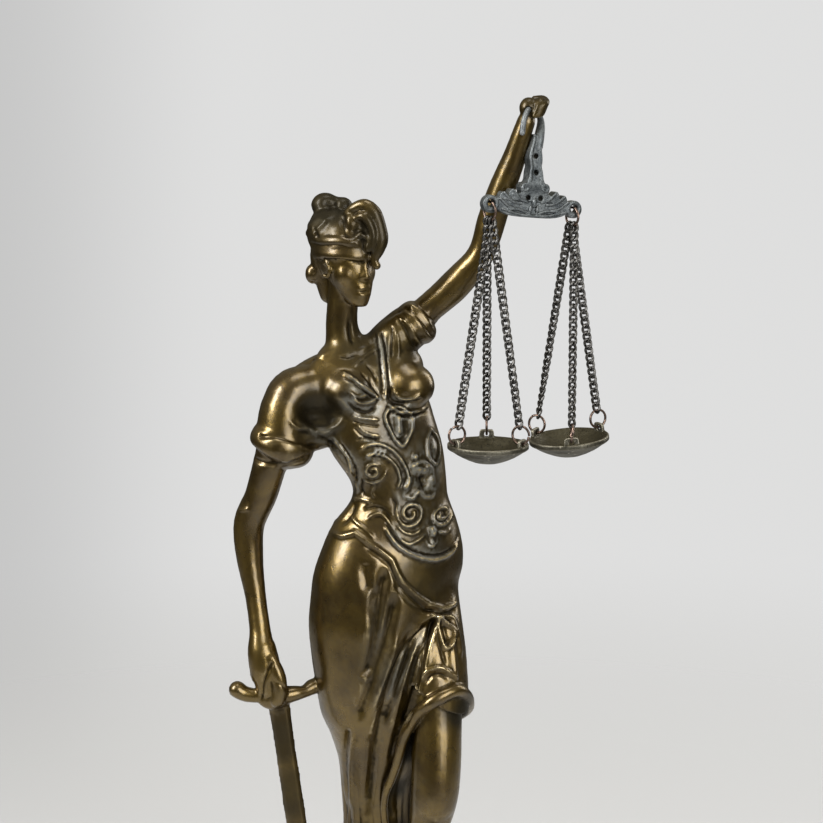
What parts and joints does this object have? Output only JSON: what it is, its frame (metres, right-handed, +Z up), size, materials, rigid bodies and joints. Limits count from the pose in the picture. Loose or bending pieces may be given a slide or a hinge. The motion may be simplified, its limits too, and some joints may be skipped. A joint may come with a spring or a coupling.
{
  "type": "lady justice statue",
  "caption": "Bronze statuette of Justice, a blindfolded woman in an ornate draped gown with a lowered sword and a raised pair of chained scales, on a round stone plinth",
  "frame": {"origin": "centre of the flat underside of the round plinth", "axes": "+Z up, -Y the way the chest and the scale beam face, +X the side of the raised arm"},
  "size_m": [0.1505, 0.108, 0.4217],
  "materials": {
    "bronze": "dark olive brown patina, rubbed golden on the high places",
    "pewter": "blue-grey cast zinc, satin",
    "chain_steel": "dark gunmetal",
    "copper_wire": "dull copper",
    "pan_metal": "olive grey patina, rubbed at the rim",
    "black_marble": "polished, with faint pale veins"
  },
  "bodies": {
    "root": {"figure": "bronze", "plinth": "black_marble", "scale_beam": "pewter", "pan_left": "pan_metal", "pan_right": "pan_metal", "chain_left_1": "chain_steel", "chain_left_2": "chain_steel", "chain_left_3": "chain_steel", "chain_right_1": "chain_steel", "chain_right_2": "chain_steel", "chain_right_3": "chain_steel", "beam_ring_left": "copper_wire", "beam_ring_right": "copper_wire", "pan_ring_left_1": "copper_wire", "pan_ring_left_2": "copper_wire", "pan_ring_left_3": "copper_wire", "pan_ring_right_1": "copper_wire", "pan_ring_right_2": "copper_wire", "pan_ring_right_3": "copper_wire"}
  },
  "joints": []
}
